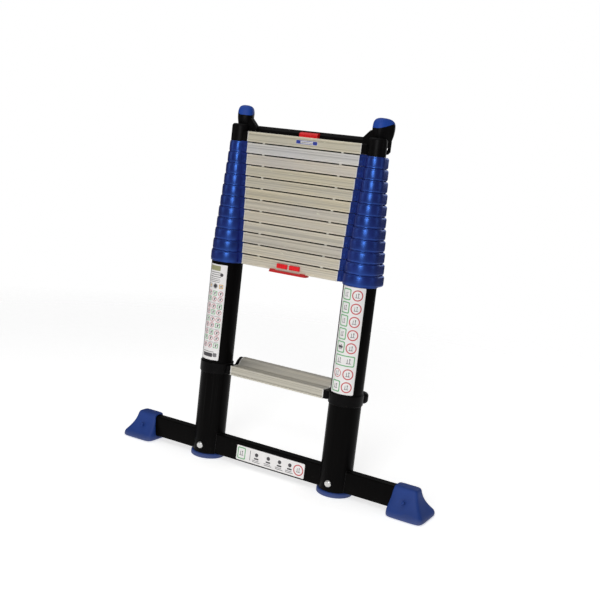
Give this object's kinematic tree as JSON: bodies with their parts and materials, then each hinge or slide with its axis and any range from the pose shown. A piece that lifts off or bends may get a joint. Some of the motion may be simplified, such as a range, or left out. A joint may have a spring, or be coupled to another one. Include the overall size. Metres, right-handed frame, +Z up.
{
  "type": "telescoping ladder",
  "caption": "Telescoping ladder: nested round stiles, stacked flat-faced rungs in plastic collars, twin release buttons, capped head with wall pads and a stabiliser bar with flared feet.",
  "frame": {"origin": "on the floor, midway between the stiles, centred over the feet", "axes": "+X to the right of someone facing the rungs, +Y to the back (wall side), +Z up along the stiles"},
  "size_m": [0.88, 0.108, 0.912],
  "materials": {
    "black_tube": "black satin coating",
    "bare_tube": "drawn, natural",
    "rung_alloy": "matt extruded",
    "blue_plastic": "semi-gloss moulded",
    "black_plastic": "fine grain",
    "blue_rubber": "matt",
    "red_plastic": "semi-gloss",
    "zinc_steel": "zinc plated"
  },
  "bodies": {
    "base": {"base_tube_left": "black_tube", "base_tube_right": "black_tube", "rung_01": "rung_alloy", "rung_02": "rung_alloy", "collars_01": "black_plastic", "collars_02": "blue_plastic", "foot_plug_left": "blue_rubber", "foot_plug_right": "blue_rubber", "stabiliser_bar": "black_tube", "stabiliser_foot_left": "blue_rubber", "stabiliser_foot_right": "blue_rubber", "stabiliser_bolts": "zinc_steel", "stabiliser_nuts": "zinc_steel", "release_bezel": "red_plastic"},
    "section_03": {"tubes_03": "bare_tube", "collars_03": "blue_plastic", "rung_03": "rung_alloy"},
    "section_04": {"tubes_04": "bare_tube", "collars_04": "blue_plastic", "rung_04": "rung_alloy"},
    "section_05": {"tubes_05": "bare_tube", "collars_05": "blue_plastic", "rung_05": "rung_alloy"},
    "section_06": {"tubes_06": "bare_tube", "collars_06": "blue_plastic", "rung_06": "rung_alloy"},
    "section_07": {"tubes_07": "bare_tube", "collars_07": "blue_plastic", "rung_07": "rung_alloy"},
    "section_08": {"tubes_08": "bare_tube", "collars_08": "blue_plastic", "rung_08": "rung_alloy"},
    "section_09": {"tubes_09": "bare_tube", "collars_09": "blue_plastic", "rung_09": "rung_alloy"},
    "section_10": {"tubes_10": "bare_tube", "collars_10": "blue_plastic", "rung_10": "rung_alloy"},
    "section_11": {"tubes_11": "bare_tube", "collars_11": "blue_plastic", "rung_11": "rung_alloy"},
    "section_12": {"tubes_12": "bare_tube", "collars_12": "blue_plastic", "rung_12": "rung_alloy"},
    "head": {"tubes_13": "bare_tube", "rung_13": "rung_alloy", "end_cap_left": "black_plastic", "end_cap_right": "black_plastic", "wall_pad_left": "blue_rubber", "wall_pad_right": "blue_rubber", "top_grip": "black_plastic"},
    "button_left": {"release_button_left": "red_plastic"},
    "button_right": {"release_button_right": "red_plastic"},
    "pin_left": {"lock_pin_left": "zinc_steel"},
    "pin_right": {"lock_pin_right": "zinc_steel"},
    "latch": {"top_latch": "red_plastic"}
  },
  "joints": [
    {"name": "section_03_slide", "type": "slide", "parent": "base", "child": "section_03", "axis": [0, 0, 1], "range_m": [0, 0.2623]},
    {"name": "section_04_slide", "type": "slide", "parent": "section_03", "child": "section_04", "axis": [0, 0, 1], "range_m": [0, 0.2623]},
    {"name": "section_05_slide", "type": "slide", "parent": "section_04", "child": "section_05", "axis": [0, 0, 1], "range_m": [0, 0.2623]},
    {"name": "section_06_slide", "type": "slide", "parent": "section_05", "child": "section_06", "axis": [0, 0, 1], "range_m": [0, 0.2623]},
    {"name": "section_07_slide", "type": "slide", "parent": "section_06", "child": "section_07", "axis": [0, 0, 1], "range_m": [0, 0.2623]},
    {"name": "section_08_slide", "type": "slide", "parent": "section_07", "child": "section_08", "axis": [0, 0, 1], "range_m": [0, 0.2623]},
    {"name": "section_09_slide", "type": "slide", "parent": "section_08", "child": "section_09", "axis": [0, 0, 1], "range_m": [0, 0.2623]},
    {"name": "section_10_slide", "type": "slide", "parent": "section_09", "child": "section_10", "axis": [0, 0, 1], "range_m": [0, 0.2623]},
    {"name": "section_11_slide", "type": "slide", "parent": "section_10", "child": "section_11", "axis": [0, 0, 1], "range_m": [0, 0.2623]},
    {"name": "section_12_slide", "type": "slide", "parent": "section_11", "child": "section_12", "axis": [0, 0, 1], "range_m": [0, 0.2623]},
    {"name": "head_slide", "type": "slide", "parent": "section_12", "child": "head", "axis": [0, 0, 1], "range_m": [0, 0.2623]},
    {"name": "button_left_press", "type": "slide", "parent": "base", "child": "button_left", "axis": [0, 1, 0], "range_m": [0, 0.004], "stiffness_N_per_m": 400},
    {"name": "pin_left_retract", "type": "slide", "parent": "base", "child": "pin_left", "axis": [1, 0, 0], "range_m": [0, 0.008]},
    {"name": "button_right_press", "type": "slide", "parent": "base", "child": "button_right", "axis": [0, 1, 0], "range_m": [0, 0.004], "stiffness_N_per_m": 400},
    {"name": "pin_right_retract", "type": "slide", "parent": "base", "child": "pin_right", "axis": [-1, 0, 0], "range_m": [0, 0.008]},
    {"name": "latch_press", "type": "slide", "parent": "head", "child": "latch", "axis": [0, 1, 0], "range_m": [0, 0.004], "stiffness_N_per_m": 400}
  ],
  "couplings": [
    {"joint": "pin_left_retract", "follows": "button_left_press", "ratio": 2},
    {"joint": "pin_right_retract", "follows": "button_right_press", "ratio": 2}
  ]
}
